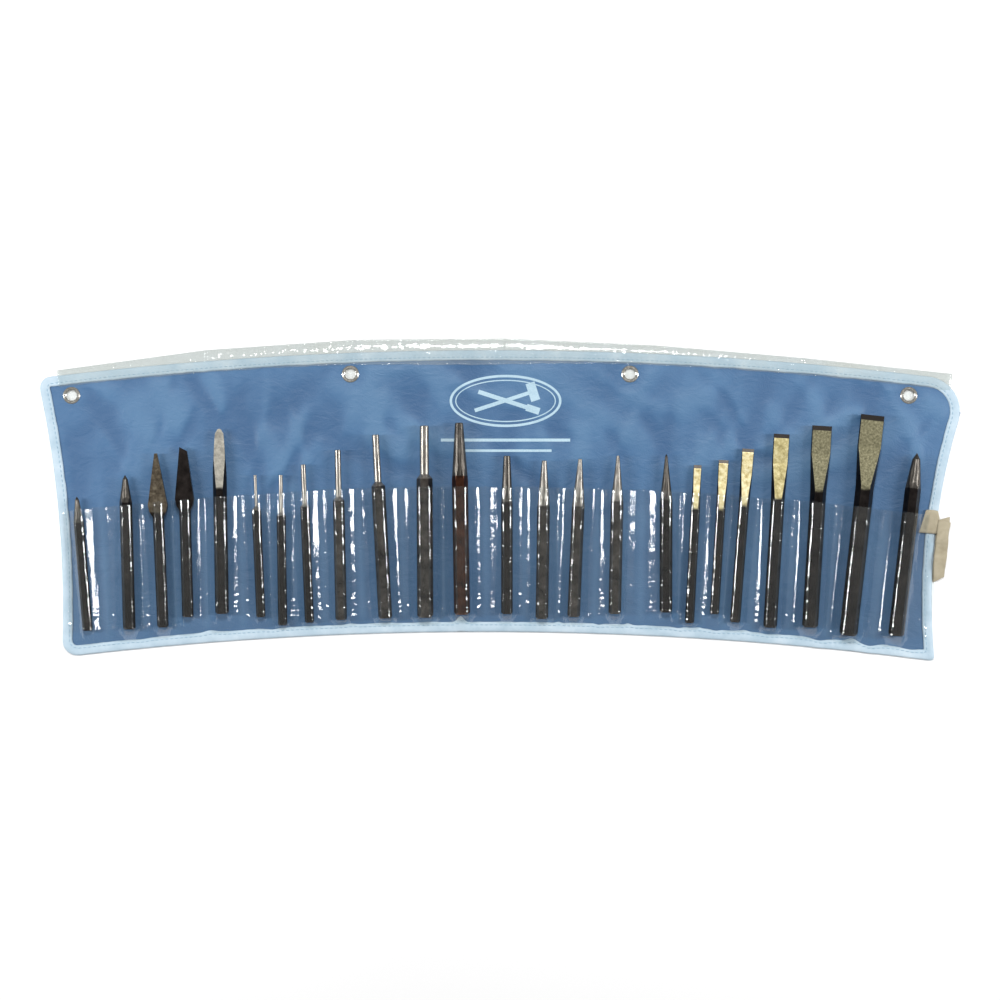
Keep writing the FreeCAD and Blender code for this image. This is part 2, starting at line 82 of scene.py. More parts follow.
# each side: circle centre, radius, and +1 where the inside of the roll is further from the centre
SIDES = {
    "bottom": (*circle_through(CORNERS["bl"], CORNERS["br"], BOTTOM_BOW, (0, 1)), 1),
    "right": (*circle_through(CORNERS["br"], CORNERS["tr"], RIGHT_HOLLOW, (-1, 0)), 1),
    "top": (*circle_through(CORNERS["tl"], CORNERS["tr"], TOP_BOW, (0, 1)), -1),
    "left": (*circle_through(CORNERS["bl"], CORNERS["tl"], LEFT_HOLLOW, (1, 0)), 1),
}
TURNS = [("bottom", "right", "br"), ("right", "top", "tr"), ("top", "left", "tl"), ("left", "bottom", "bl")]


def edge_y(side, x, inset=0.0):
    """Height of the top or bottom edge at x, drawn in by inset."""
    (cx, cy), radius, sign = SIDES[side]
    return cy + math.sqrt((radius + sign * inset) ** 2 - (x - cx) ** 2)


def end_x(side, y, inset=0.0):
    """Where the left or right edge is at height y."""
    (cx, cy), radius, sign = SIDES[side]
    reach = math.sqrt((radius + sign * inset) ** 2 - (y - cy) ** 2)
    return cx + reach if side == "left" else cx - reach


def crossing(a, b, inset, near):
    """The point near a corner where two sides, each drawn in by inset, cross."""
    (ax, ay), ar, asign = SIDES[a]
    (bx, by), br, bsign = SIDES[b]
    r1, r2 = ar + asign * inset, br + bsign * inset
    gap = math.dist((ax, ay), (bx, by))
    along = (gap * gap + r1 * r1 - r2 * r2) / (2 * gap)
    off = math.sqrt(max(r1 * r1 - along * along, 0))
    ux, uy = (bx - ax) / gap, (by - ay) / gap
    found = [(ax + ux * along - s * uy * off, ay + uy * along + s * ux * off) for s in (-1, 1)]
    return min(found, key=lambda p: math.dist(p, near))


def outline(inset, step=1.2, corner_points=8):
    """Points round the roll at an inset, with the same count and order for every inset."""
    fillets = {}
    for a, b, corner in TURNS:
        radius = max(ROUNDING[corner] - inset, 0.6)
        centre = crossing(a, b, inset + radius, CORNERS[corner])
        feet = []
        for side in (a, b):
            (cx, cy), _, sign = SIDES[side]
            d = math.dist(centre, (cx, cy))
            feet.append((centre[0] - sign * (centre[0] - cx) / d * radius,
                         centre[1] - sign * (centre[1] - cy) / d * radius))
        fillets[corner] = (centre, radius, feet)
    runs = {"bottom": ("bl", "br"), "right": ("br", "tr"), "top": ("tr", "tl"), "left": ("tl", "bl")}
    points, kinds = [], []
    for side, (start, end) in runs.items():
        (cx, cy), _, _ = SIDES[side]
        p, q = fillets[start][2][1], fillets[end][2][0]
        a0, a1 = math.atan2(p[1] - cy, p[0] - cx), math.atan2(q[1] - cy, q[0] - cx)
        if a1 - a0 > math.pi:
            a1 -= 2 * math.pi
        if a0 - a1 > math.pi:
            a1 += 2 * math.pi
        r = math.dist(p, (cx, cy))
        count = max(8, round(math.dist(CORNERS[start], CORNERS[end]) / step))
        for i in range(count):
            a = a0 + (a1 - a0) * i / count
            points.append((cx + r * math.cos(a), cy + r * math.sin(a)))
            kinds.append(side)
        centre, radius, feet = fillets[end]
        b0 = math.atan2(feet[0][1] - centre[1], feet[0][0] - centre[0])
        b1 = math.atan2(feet[1][1] - centre[1], feet[1][0] - centre[0])
        if b1 < b0:
            b1 += 2 * math.pi
        for i in range(corner_points):
            b = b0 + (b1 - b0) * i / corner_points
            points.append((centre[0] + radius * math.cos(b), centre[1] + radius * math.sin(b)))
            kinds.append("corner")
    return points, kinds


def row(x, y, z):
    """Outline millimetres to the row's frame in metres."""
    return ((x - ORIGIN[0]) * MM, (y - ORIGIN[1]) * MM, z * MM)


def hash_noise(x, y, z=0.0):
    """Smooth, repeatable noise in about -1 to 1."""
    return noise.noise((x, y, z))


# ---- Mesh helpers ------------------------------------------------------------------------------------------
def make_mesh(name, verts, faces, material, smooth=True):
    data = bpy.data.meshes.new(name)
    data.from_pydata(verts, [], faces)
    data.validate()
    data.polygons.foreach_set("use_smooth", [smooth] * len(data.polygons))
    data.update()
    obj = bpy.data.objects.new(name, data)
    bpy.context.scene.collection.objects.link(obj)
    obj.data.materials.append(material)
    return obj


def grid_faces(rows, cols, flip=False):
    faces = []
    for i in range(rows - 1):
        for j in range(cols - 1):
            quad = (i * cols + j, i * cols + j + 1, (i + 1) * cols + j + 1, (i + 1) * cols + j)
            faces.append(quad[::-1] if flip else quad)
    return faces


def rim_faces(rows, cols, flip=False):
    """The narrow faces round a grid's edge, down to a second grid whose vertices follow the first's."""
    offset = rows * cols
    rim = list(range(cols)) + [i * cols + cols - 1 for i in range(1, rows)]
    rim += [(rows - 1) * cols + j for j in range(cols - 2, -1, -1)] + [i * cols for i in range(rows - 2, 0, -1)]
    quads = [(a, a + offset, b + offset, b) for a, b in zip(rim, rim[1:] + rim[:1])]
    return [quad[::-1] if flip else quad for quad in quads]


def closed_faces(rows, cols, flip=False):
    """The faces of a closed sheet: a top grid, a bottom grid facing the other way, and the rim between them."""
    top = grid_faces(rows, cols, flip)
    return top + [tuple(v + rows * cols for v in face[::-1]) for face in top] + rim_faces(rows, cols, flip)


def sheet_mesh(name, top, thick, material, flip=False):
    """A closed sheet from a grid of top points (rows of (x, y, z) in outline mm), thick downwards."""
    rows, cols = len(top), len(top[0])
    verts = [row(*p) for line in top for p in line]
    verts += [row(p[0], p[1], p[2] - thick) for line in top for p in line]
    return make_mesh(name, verts, closed_faces(rows, cols, flip), material)


# ---- Materials ---------------------------------------------------------------------------------------------
class Nodes:
    """Short calls for building one material's nodes."""

    def __init__(self, name):
        self.material = bpy.data.materials.new(name)
        self.material.use_nodes = True
        self.tree = self.material.node_tree
        self.shader = self.tree.nodes["Principled BSDF"]
        self.output = self.tree.nodes["Material Output"]

    def add(self, kind, **inputs):
        node = self.tree.nodes.new("ShaderNode" + kind)
        for key, value in inputs.items():
            self.put(node, key, value)
        return node

    def put(self, node, key, value):
        target = node.inputs[key.replace("_", " ")]
        if isinstance(value, bpy.types.NodeSocket):
            self.tree.links.new(value, target)
        else:
            target.default_value = value

    def where(self, scale=(1, 1, 1), turn=0.0):
        coords = self.add("TexCoord")
        mapping = self.add("Mapping")
        mapping.inputs["Scale"].default_value = scale
        mapping.inputs["Rotation"].default_value = (0, 0, turn)
        self.tree.links.new(coords.outputs["Object"], mapping.inputs["Vector"])
        return mapping.outputs["Vector"]

    def noise(self, where, scale, detail=3.0, rough=0.5, distortion=0.0):
        node = self.add("TexNoise", Vector=where, Scale=scale, Detail=detail, Roughness=rough, Distortion=distortion)
        return node.outputs["Fac"]

    def ramp(self, fac, stops):
        node = self.add("ValToRGB", Fac=fac)
        elements = node.color_ramp.elements
        while len(elements) < len(stops):
            elements.new(0.5)
        for element, (place, colour) in zip(elements, stops):
            element.position = place
            element.color = colour if len(colour) == 4 else (*colour, 1)
        return node.outputs["Color"]

    def math(self, operation, a, b=0.0, clamp=False):
        node = self.tree.nodes.new("ShaderNodeMath")
        node.operation = operation
        node.use_clamp = clamp
        for i, value in enumerate((a, b)):
            if isinstance(value, bpy.types.NodeSocket):
                self.tree.links.new(value, node.inputs[i])
            else:
                node.inputs[i].default_value = value
        return node.outputs[0]

    def mix(self, fac, a, b):
        node = self.tree.nodes.new("ShaderNodeMix")
        node.data_type = "RGBA"
        for key, value in ((0, fac), (6, a), (7, b)):
            if isinstance(value, bpy.types.NodeSocket):
                self.tree.links.new(value, node.inputs[key])
            else:
                node.inputs[key].default_value = value if key == 0 or len(value) == 4 else (*value, 1)
        return node.outputs[2]

    def between(self, value, low, high, to_low=0.0, to_high=1.0):
        node = self.add("MapRange", Value=value)
        for key, number in (("From Min", low), ("From Max", high), ("To Min", to_low), ("To Max", to_high)):
            node.inputs[key].default_value = number
        return node.outputs["Result"]

    def bump(self, height, strength, distance, before=None):
        node = self.add("Bump", Height=height, Strength=strength, Distance=distance)
        if before is not None:
            self.tree.links.new(before, node.inputs["Normal"])
        return node.outputs["Normal"]

    def finish(self, **inputs):
        for key, value in inputs.items():
            self.put(self.shader, key, value)
        return self.material


def srgb(r, g, b):
    """Display colour in 0 to 255 to linear light."""
    return tuple(((c / 255 + 0.055) / 1.055) ** 2.4 if c > 10 else c / 255 / 12.92 for c in (r, g, b))


def blue_vinyl():
    n = Nodes("blue_vinyl")
    where = n.where()
    patches = n.noise(where, 14, 4, 0.6)
    colour = n.ramp(patches, [(0.3, srgb(62, 101, 141)), (0.55, srgb(70, 110, 150)), (0.75, srgb(80, 121, 160))])
    fold = n.add("Attribute")
    fold.attribute_name = "fold"
    # Painted shade and painted highlight: the cloth's colour is darkened in the hollows of its folds and lightened on
    # their ridges, read from the panel's 'fold' height.
    colour = n.mix(n.between(fold.outputs["Fac"], -0.8, 0.2, 0.6, 0.0), colour, srgb(44, 82, 124))
    colour = n.mix(n.between(fold.outputs["Fac"], 0.1, 1.1, 0.0, 0.5), colour, srgb(94, 133, 168))
    grain = n.noise(where, 1400, 2, 0.6)
    weave = n.add("TexWave", Vector=where, Scale=420.0, Distortion=1.5, Detail=1.0)
    crease = n.noise(n.where((1, 1.6, 1), 0.5), 60, 5, 0.65, 0.6)
    normal = n.bump(crease, 0.25, 0.004)
    normal = n.bump(grain, 0.25, 0.0004, normal)
    normal = n.bump(weave.outputs["Fac"], 0.08, 0.0003, normal)
    rough = n.between(patches, 0.2, 0.8, 0.42, 0.56)
    return n.finish(Base_Color=colour, Roughness=rough, Normal=normal)


def pale_binding():
    n = Nodes("pale_binding")
    where = n.where()
    patches = n.noise(where, 60, 4, 0.6)
    colour = n.ramp(patches, [(0.3, srgb(170, 193, 208)), (0.6, srgb(188, 207, 220)), (0.8, srgb(202, 217, 227))])
    weave = n.add("TexWave", Vector=where, Scale=700.0, Distortion=0.8)
    pucker = n.noise(where, 220, 3, 0.6)
    normal = n.bump(pucker, 0.35, 0.001)
    normal = n.bump(weave.outputs["Fac"], 0.12, 0.0003, normal)
    return n.finish(Base_Color=colour, Roughness=n.between(patches, 0.2, 0.8, 0.5, 0.62), Normal=normal)


def thread():
    n = Nodes("thread_with_painted_shade")
    twist = n.add("TexWave", Vector=n.where((1, 1, 1), 0.6), Scale=900.0)
    # The thread is coloured a darker blue than the binding: painted shade of the stitch holes.
    colour = n.mix(twist.outputs["Fac"], srgb(138, 172, 194), srgb(170, 198, 214))
    return n.finish(Base_Color=colour, Roughness=0.7, Normal=n.bump(twist.outputs["Fac"], 0.4, 0.0002))


FILM_ROUGHNESS = 0.07


def clear_film(name, stretch, haze, gloss):
    """Thin clear vinyl: see-through, with a faint haze and a mirror's share of at most gloss on its crinkles."""
    n = Nodes(name)
    streaks = n.noise(n.where(stretch), 130, 4, 0.55, 0.3)
    crinkle = n.noise(n.where(), 210, 4, 0.65, 0.6)
    fold = n.add("TexVoronoi", Vector=n.where(stretch), Scale=60.0)
    fold.feature = "DISTANCE_TO_EDGE"
    normal = n.bump(streaks, 0.5, 0.0007)
    normal = n.bump(crinkle, 0.3, 0.0003, normal)
    normal = n.bump(n.between(fold.outputs["Distance"], 0, 0.08), 0.25, 0.00015, normal)
    cloud = n.noise(n.where(), 30, 3, 0.6)
    n.finish(Base_Color=n.ramp(cloud, [(0.3, srgb(206, 216, 211)), (0.7, srgb(232, 234, 224))]),
             Roughness=FILM_ROUGHNESS, Normal=normal, IOR=1.53)
    clear = n.tree.nodes.new("ShaderNodeBsdfTransparent")
    clear.inputs["Color"].default_value = (0.985, 0.993, 0.993, 1)
    slant = n.tree.nodes.new("ShaderNodeFresnel")
    slant.inputs["IOR"].default_value = 1.5
    n.tree.links.new(normal, slant.inputs["Normal"])
    mirror = n.tree.nodes.new("ShaderNodeBsdfGlossy")
    mirror.inputs["Roughness"].default_value = FILM_ROUGHNESS
    n.tree.links.new(normal, mirror.inputs["Normal"])
    inner = n.tree.nodes.new("ShaderNodeMixShader")
    outer = n.tree.nodes.new("ShaderNodeMixShader")
    n.tree.links.new(n.between(cloud, 0.3, 0.75, haze * 0.4, haze), inner.inputs[0])
    n.tree.links.new(clear.outputs[0], inner.inputs[1])
    n.tree.links.new(n.shader.outputs[0], inner.inputs[2])
    n.tree.links.new(n.math("MINIMUM", slant.outputs[0], gloss), outer.inputs[0])
    n.tree.links.new(inner.outputs[0], outer.inputs[1])
    n.tree.links.new(mirror.outputs[0], outer.inputs[2])
    n.tree.links.new(outer.outputs[0], n.output.inputs["Surface"])
    return n.material


def nickel():
    n = Nodes("nickel_plate")
    spots = n.noise(n.where(), 500, 4, 0.6)
    colour = n.mix(spots, srgb(196, 192, 180), srgb(228, 226, 220))
    return n.finish(Base_Color=colour, Metallic=1.0, Roughness=n.between(spots, 0.3, 0.7, 0.16, 0.32),
                    Normal=n.bump(spots, 0.1, 0.0002))


def twill():
    n = Nodes("cotton_twill")
    ribs = n.add("TexWave", Vector=n.where((1, 1, 1), 0.78), Scale=330.0)
    patches = n.noise(n.where(), 70, 4, 0.6)
    colour = n.ramp(patches, [(0.3, srgb(158, 148, 124)), (0.6, srgb(186, 176, 152)), (0.8, srgb(205, 197, 178))])
    colour = n.mix(n.between(ribs.outputs["Fac"], 0, 1, 0.0, 0.25), colour, srgb(140, 130, 106))
    n.shader.inputs["Sheen Weight"].default_value = 0.25
    return n.finish(Base_Color=colour, Roughness=0.88, Normal=n.bump(ribs.outputs["Fac"], 0.5, 0.0004))


def print_ink():
    n = Nodes("print_ink")
    wear = n.noise(n.where(), 900, 3, 0.7)
    colour = n.ramp(wear, [(0.3, srgb(162, 194, 212)), (0.6, srgb(182, 209, 223))])
    return n.finish(Base_Color=colour, Roughness=0.5, Normal=n.bump(wear, 0.15, 0.0002))


# ---- The tools, read from the frame ------------------------------------------------------------------------
class Tool:
    """One tool's axis, read from its slide joint, and its extent, read from its mesh."""

    def __init__(self, name, joint):
        self.name = name
        self.obj = frame["nodes"][name]
        self.axis = Vector(joint["axis"]).normalized()
        count = len(self.obj.data.vertices)
        flat = np.empty(count * 3)
        self.obj.data.vertices.foreach_get("co", flat)
        points = flat.reshape(-1, 3)
        world = np.array(self.obj.matrix_world)
        points = points @ world[:3, :3].T + world[:3, 3]
        along = points @ np.array(self.axis)
        self.low, self.high = along.min(), along.max()
        side = np.array((self.axis.y, -self.axis.x, 0.0))
        across = points @ side
        shank = along < self.low + 0.5 * (self.high - self.low)
        self.centre = (across[shank].min() + across[shank].max()) / 2
        self.half = (across[shank].max() - across[shank].min()) / 2
        self.side = Vector(side)
        self.bottom, self.top = points[:, 2].min(), points[shank][:, 2].max()
        self.wide = (across.max() - across.min()) / 2
        self.neck = along[np.abs(across - self.centre) > 0.96 * self.half].max()

    def at(self, along, across=0.0, z=0.0):
        p = self.axis * along + self.side * (self.centre + across)
        return Vector((p.x, p.y, z))

    def x_mm(self, y_mm):
        """The axis's x at a height, both in outline millimetres."""
        base = self.at(self.low)
        x = base.x + self.axis.x / self.axis.y * ((y_mm - ORIGIN[1]) * MM - base.y)
        return x / MM + ORIGIN[0]

    def butt_mm(self):
        p = self.at(self.low)
        return p.x / MM + ORIGIN[0], p.y / MM + ORIGIN[1]


JOINTS = {j["child"]: j for j in frame["record"]["behaviour"]["joints"]}
TOOLS = sorted((Tool(name, j) for name, j in JOINTS.items() if j["type"] == "slide"), key=lambda t: t.at(t.low).x)


def steel(tool, shades, tip=None, bright=None, bright_length=0.0, mottling=260, edge=None, edge_length=0.0):
    """Oxide-finished steel, with a bare tip past the shank or bright ground faces where the tool has them."""
    n = Nodes("steel_" + tool.name)
    where = n.where()
    coords = n.add("TexCoord")
    dot = n.tree.nodes.new("ShaderNodeVectorMath")
    dot.operation = "DOT_PRODUCT"
    n.tree.links.new(coords.outputs["Object"], dot.inputs[0])
    dot.inputs[1].default_value = tool.axis
    along = dot.outputs["Value"]
    turned = n.where((1, 1, 1), -math.atan2(-tool.axis.x, tool.axis.y))
    stretched = n.add("Mapping", Vector=turned)
    stretched.inputs["Scale"].default_value = (1, 0.08, 1)
    drawn = n.noise(stretched.outputs["Vector"], 900, 4, 0.6)
    patches = n.noise(where, 120, 5, 0.65)
    colour = n.ramp(patches, [(0.3, shades[0]), (0.62, shades[1]), (0.85, shades[2])])
    roughness = n.between(n.math("ADD", patches, n.math("MULTIPLY", drawn, 0.5)), 0.4, 1.1, 0.22, 0.42)
    if tip:
        bare = n.between(along, tool.neck - 0.0005, tool.neck + 0.0005)
        colour = n.mix(bare, colour, n.ramp(drawn, [(0.25, tip[0]), (0.5, tip[1]), (0.75, tip[2])]))
    if bright:
        mottle = n.noise(where, mottling, 5, 0.7)
        shine = n.ramp(mottle, [(0.3, bright[0]), (0.5, bright[1]), (0.72, bright[2])])
        start = tool.high - bright_length
        mask = n.between(n.math("ADD", along, n.math("MULTIPLY", patches, 0.004)), start, start + 0.0025)
        geometry = n.add("NewGeometry")
        parts = n.add("SeparateXYZ", Vector=geometry.outputs["True Normal"])
        upright = n.between(n.math("ABSOLUTE", parts.outputs["Z"]), 0.72, 0.86)
        mask = n.math("MULTIPLY", mask, upright)
        colour = n.mix(mask, colour, shine)
        roughness = n.math("ADD", n.math("MULTIPLY", mask, 0.12), roughness)
    if edge:
        start = tool.high - edge_length
        mask = n.between(along, start, start + 0.0004)
        colour = n.mix(mask, colour, edge)
    normal = n.bump(drawn, 0.12, 0.0004)
    normal = n.bump(n.noise(where, 1800, 3, 0.6), 0.1, 0.0002, normal)
    return n.finish(Base_Color=colour, Metallic=0.85, Roughness=roughness, Normal=normal)


BLACK = (srgb(22, 18, 17), srgb(40, 35, 33), srgb(74, 68, 64))
GREY = (srgb(44, 40, 37), srgb(82, 77, 72), srgb(124, 118, 110))
BROWN = (srgb(48, 27, 18), srgb(80, 47, 31), srgb(108, 68, 46))
CREAM = (srgb(158, 138, 84), srgb(216, 203, 156), srgb(240, 234, 204))
GOLD = (srgb(128, 116, 74), srgb(182, 170, 122), srgb(222, 213, 170))
OLIVE = (srgb(78, 76, 58), srgb(116, 112, 88), srgb(156, 150, 122))
UMBER = (srgb(48, 42, 34), srgb(78, 70, 58), srgb(112, 104, 88))
DULL = (srgb(104, 101, 94), srgb(134, 131, 122), srgb(158, 154, 144))
BARE = (srgb(88, 84, 79), srgb(138, 133, 126), srgb(196, 192, 184))
DARK = (srgb(46, 43, 40), srgb(84, 80, 75), srgb(128, 123, 116))
FINISHES = {
    "cape_chisel": dict(bright=UMBER, bright_length=0.047),
    "round_nose_chisel": dict(bright=DULL, bright_length=0.047),
    "line_up_punch": dict(shades=BROWN, tip=DARK),
    "cold_chisel_1_4": dict(bright=CREAM, bright_length=0.034, edge=GREY[1], edge_length=0.003),
    "cold_chisel_5_16": dict(bright=CREAM, bright_length=0.039, edge=GREY[1], edge_length=0.003),
    "cold_chisel_3_8": dict(bright=CREAM, bright_length=0.045, edge=GREY[1], edge_length=0.003),
    "cold_chisel_1_2": dict(bright=GOLD, bright_length=0.051, edge=GREY[0], edge_length=0.0036),
    "cold_chisel_5_8": dict(bright=OLIVE, bright_length=0.052, mottling=620, edge=GREY[0], edge_length=0.004),
    "cold_chisel_3_4": dict(bright=OLIVE, bright_length=0.059, mottling=620, edge=GREY[0], edge_length=0.0045),
}
for name in ("pin_punch_3_16", "pin_punch_7_32", "pin_punch_9_32",
             "solid_punch_5_32", "solid_punch_1_8", "solid_punch_3_32"):
    FINISHES[name] = dict(shades=GREY)
for tool in TOOLS:
    if "punch" in tool.name:
        dark = tool.name in ("prick_punch", "solid_punch_7_32") or tool.name.startswith("centre")
        FINISHES.setdefault(tool.name, {}).setdefault("tip", DARK if dark else BARE)
for tool in TOOLS:
    spec = dict(FINISHES.get(tool.name, {}))
    finish = steel(tool, spec.pop("shades", BLACK), **spec)
    tool.obj.data.materials.clear()
    tool.obj.data.materials.append(finish)

NICKEL = nickel()
for name in ("eyelets", "eyelet_washers"):
    obj = frame["nodes"][name]
    obj.data.materials.clear()
    obj.data.materials.append(NICKEL)

# ---- Back panel --------------------------------------------------------------------------------------------
rng = random.Random(7)
EYELETS = []
for mount in frame["record"]["mounts"]:
    x, y, _ = mount["pos_m"]
    EYELETS.append((x / MM + ORIGIN[0], y / MM + ORIGIN[1]))


def make_creases():
    """Soft folds: (x, y, cos, sin, half length, width, height), fanned from the tools' tips and over the bare cloth."""
    creases = []
    for tool in TOOLS:
        tip = tool.at(tool.high)
        x, y = tip.x / MM + ORIGIN[0], tip.y / MM + ORIGIN[1]
        for side in (-1, 1):
            turn = math.radians(90 + side * rng.uniform(4, 38))
            reach = rng.uniform(16, 38)
            creases.append((x + side * 5 + math.cos(turn) * reach, y - 6 + math.sin(turn) * reach, math.cos(turn),
                            math.sin(turn), reach, rng.uniform(4.0, 8.5), rng.choice((-1, 1)) * rng.uniform(0.6, 1.5)))
    for _ in range(46):
        turn = math.radians(rng.choice((-1, 1)) * rng.uniform(12, 62))
        creases.append((rng.uniform(-350, 350), rng.uniform(15, 105), math.cos(turn), math.sin(turn),
                        rng.uniform(22, 60), rng.uniform(4.5, 11), rng.choice((-1, 1)) * rng.uniform(0.5, 1.4)))
    return creases


def seam_lines():
    """Each pocket seam's x at the bottom edge and at the mouth, from the left end to the right."""
    low, high = CORNERS["bl"][1], edge_y("bottom", 0) + POCKET_DEPTH
    seams = [(end_x("left", low, 6) - 2, end_x("left", high, 6) - 4)]
    for a, b in zip(TOOLS, TOOLS[1:]):
        shift = (a.wide - b.wide) / MM / 2
        seams.append(tuple((a.x_mm(y) + b.x_mm(y)) / 2 + shift for y in (low, high)))
    seams.append((end_x("right", low, 6) + 2, end_x("right", high, 6) + 4))
    return seams


CREASES = make_creases()
SEAM_XS = seam_lines()[1:-1]                        # the seams between two tools
RELIEF_UP, RELIEF_DOWN = 1.1, 0.8


def relief(x, y):
    """The panel's height above its flat lie, from folds, soft waves and the ridges along the seams."""
    total = 0.5 * hash_noise(x / 70, y / 45, 3.1) + 0.2 * hash_noise(x / 26, y / 30, 9.7)
    for cx, cy, c, s, half, width, height in CREASES:
        dx, dy = x - cx, y - cy
        bend = 0.0025 * (dx * c + dy * s) ** 2
        across = (-dx * s + dy * c - bend) / width
        if -2.4 < across < 2.4:
            along = (dx * c + dy * s) / half
            if -1.7 < along < 1.7:
                total += height * math.exp(-across * across - along ** 4)
    mouth = edge_y("bottom", x) + POCKET_DEPTH
    bare = max(0.0, min(1.0, (y - mouth + 35) / 45))
    total *= 0.25 + 0.75 * bare
    for low, high in SEAM_XS:
        t = (y - CORNERS["bl"][1]) / (edge_y("bottom", 0) + POCKET_DEPTH - CORNERS["bl"][1])
        off = (x - low - (high - low) * t) / 3.2
        if -2.4 < off < 2.4:
            total += 0.7 * math.exp(-off * off) * (1 - 0.8 * bare)
    total = RELIEF_UP * math.tanh(total / RELIEF_UP) if total > 0 else RELIEF_DOWN * math.tanh(total / RELIEF_DOWN)
    lift = 1.0
    for ex, ey in EYELETS:
        lift *= min(1.0, max(0.0, (math.dist((x, y), (ex, ey)) - 6.8) / 9))
    rim = min(edge_y("top", x) - y, y - edge_y("bottom", x), x - end_x("left", y), end_x("right", y) - x)
    return total * lift * max(0.0, min(1.0, (rim - 6) / 9))


def round_corner(x, y, inset):
    """Pulls a point that lies outside a rounded corner on to it."""
    for a, b, corner in TURNS:
        radius = max(ROUNDING[corner] - inset, 0.6)
        centre = crossing(a, b, inset + radius, CORNERS[corner])
        outward = (CORNERS[corner][0] - centre[0], CORNERS[corner][1] - centre[1])
        dx, dy = x - centre[0], y - centre[1]
        if dx * outward[0] > 0 and dy * outward[1] > 0:
            d = math.hypot(dx, dy)
            if d > radius:
                return centre[0] + dx * radius / d, centre[1] + dy * radius / d
    return x, y


@functools.cache
def sharp_corners(inset):
    return {key: crossing(a, b, inset, CORNERS[key]) for a, b, key in TURNS}


def coons(s, t, inset):
    """A point of the panel: s runs left to right, t from the bottom edge to the top."""
    corner = sharp_corners(inset)
    left_y = corner["bl"][1] + t * (corner["tl"][1] - corner["bl"][1])
    right_y = corner["br"][1] + t * (corner["tr"][1] - corner["br"][1])
    low_x = corner["bl"][0] + s * (corner["br"][0] - corner["bl"][0])
    high_x = corner["tl"][0] + s * (corner["tr"][0] - corner["tl"][0])
    low, high = (low_x, edge_y("bottom", low_x, inset)), (high_x, edge_y("top", high_x, inset))
    left, right = (end_x("left", left_y, inset), left_y), (end_x("right", right_y, inset), right_y)
    point = []
    for k in (0, 1):
        flat = ((1 - s) * (1 - t) * corner["bl"][k] + s * (1 - t) * corner["br"][k]
                + (1 - s) * t * corner["tl"][k] + s * t * corner["tr"][k])
        point.append((1 - t) * low[k] + t * high[k] + (1 - s) * left[k] + s * right[k] - flat)
    return tuple(point)


def back_panel():
    cols, rows = ((520, 165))
    top = []
    for i in range(rows + 1):
        line = []
        for j in range(cols + 1):
            x, y = coons(j / cols, i / rows, PANEL_INSET)
            x, y = round_corner(x, y, PANEL_INSET)
            line.append((x, y, PANEL_TOP + relief(x, y)))
        top.append(line)
    panel = sheet_mesh("panel_vinyl", top, PANEL_THICK, blue_vinyl())
    # the heights are kept as the 'fold' attribute, which the blue vinyl uses for painted shade in the fold hollows and
    # painted highlight on the ridges
    heights = [p[2] - PANEL_TOP for line in top for p in line]
    fold = panel.data.attributes.new("fold", "FLOAT", "POINT")
    fold.data.foreach_set("value", heights + heights)
    # the eyelets' holes, their rims drawn in to the barrel and joined through the cloth
    mesh = bmesh.new()
    mesh.from_mesh(panel.data)
    centres = [Vector(row(x, y, 0)) for x, y in EYELETS]
    gone = [v for v in mesh.verts if any(math.dist(v.co.xy, c.xy) < HOLE * MM for c in centres)]
    bmesh.ops.delete(mesh, geom=gone, context="VERTS")
    for c in centres:
        rim = [e for e in mesh.edges if e.is_boundary and math.dist(e.verts[0].co.xy, c.xy) < 2 * HOLE * MM]
        for v in {v for e in rim for v in e.verts}:
            d = (v.co.xy - c.xy).normalized() * HOLE * MM
            v.co.x, v.co.y = c.x + d.x, c.y + d.y
        bmesh.ops.bridge_loops(mesh, edges=rim)
    bmesh.ops.recalc_face_normals(mesh, faces=mesh.faces)
    mesh.to_mesh(panel.data)
    mesh.free()
    return panel


PANEL = back_panel()
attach(PANEL, "roll")
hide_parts("back_panel")

bpy.context.view_layer.update()
PANEL_TREE = BVHTree.FromObject(PANEL, bpy.context.evaluated_depsgraph_get())


def on_panel(x, y, above=0.08):
    """A row point that lies on the panel under outline (x, y) mm."""
    px, py, _ = row(x, y, 0)
    hit = PANEL_TREE.ray_cast(Vector((px, py, 0.05)), Vector((0, 0, -1)))[0]
    z = hit.z if hit is not None else PANEL_TOP * MM
    return (px, py, z + above * MM)


# ---- Binding -----------------------------------------------------------------------------------------------
BINDING_SECTION = [  # (inset, z) round the folded tape, from the front leg's raw edge outwards and back
    (8.0, 2.10), (6.6, 2.26), (5.6, 2.12), (4.4, 2.30), (2.6, 2.36), (1.2, 2.24), (0.35, 1.95), (0.0, 1.35),
    (0.35, 0.75), (1.2, 0.45), (3.0, 0.38), (5.6, 0.42), (8.0, 0.40), (8.0, 0.72), (5.6, 0.78), (3.0, 0.80),
    (1.4, 0.90), (0.8, 1.35), (1.4, 1.80), (3.0, 1.86), (5.6, 1.80), (8.0, 1.78)]
# where pocket seams bunch the lower binding: (x, rise, half width)
NOTCHES = [(-31.8, 4.8, 3.4), (47, 1.0, 2.5), (79, -0.8, 3), (103, 1.2, 3), (-233, 1.5, 6),
           (-184, -1.0, 5), (143, -0.9, 4), (160, 0.8, 3), (173, -1.0, 4), (196, 1.1, 4),
           (214, -0.8, 5), (257, -2.2, 8), (283, 2.6, 5), (297, -2.4, 7), (-120, 0.8, 5),
           (-290, -0.8, 6), (330, -1.2, 8)]


def notch(x, y):
    """How far the lower binding's inner edge steps up where pocket seams bunch it."""
    if y > 0:
        return 0.0
    return sum(h * math.exp(-((x - c) / w) ** 2) for c, h, w in NOTCHES)


